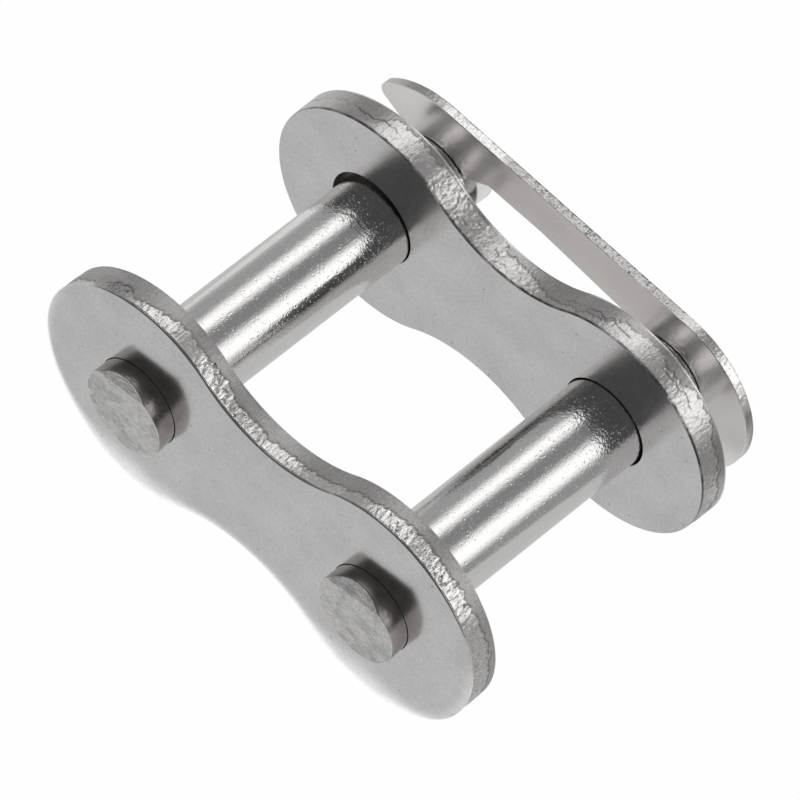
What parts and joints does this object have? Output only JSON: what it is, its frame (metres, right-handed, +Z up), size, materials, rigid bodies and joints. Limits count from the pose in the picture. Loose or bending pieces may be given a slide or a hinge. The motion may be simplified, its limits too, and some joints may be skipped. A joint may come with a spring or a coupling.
{
  "type": "roller chain connecting link",
  "caption": "Connecting link for a single-strand roller chain: two waisted plates on two round pins, closed by a flat spring clip.",
  "frame": {"origin": "on the axis of pin 1, midway between the facing sides of the two plates", "axes": "+X to the axis of pin 2, +Y along the pins from the pin plate to the spring clip, +Z up across the plates, which stand on their round ends"},
  "size_m": [0.0233, 0.0189, 0.0106],
  "materials": {
    "stamped_plate": "satin rolled faces with a sheared and torn rim",
    "ground_pin": "bright ground with fine pits",
    "spring_steel": "bright rolled strip with a rough sheared rim"
  },
  "bodies": {
    "pin_link": {"pin_plate": "stamped_plate", "pin_1": "ground_pin", "pin_2": "ground_pin", "spring_clip": "spring_steel"},
    "cover": {"cover_plate": "stamped_plate"}
  },
  "joints": [
    {"name": "cover_slide", "type": "slide", "parent": "pin_link", "child": "cover", "axis": [0, 1, 0], "range_m": [-0.01145, 0.00186]}
  ]
}
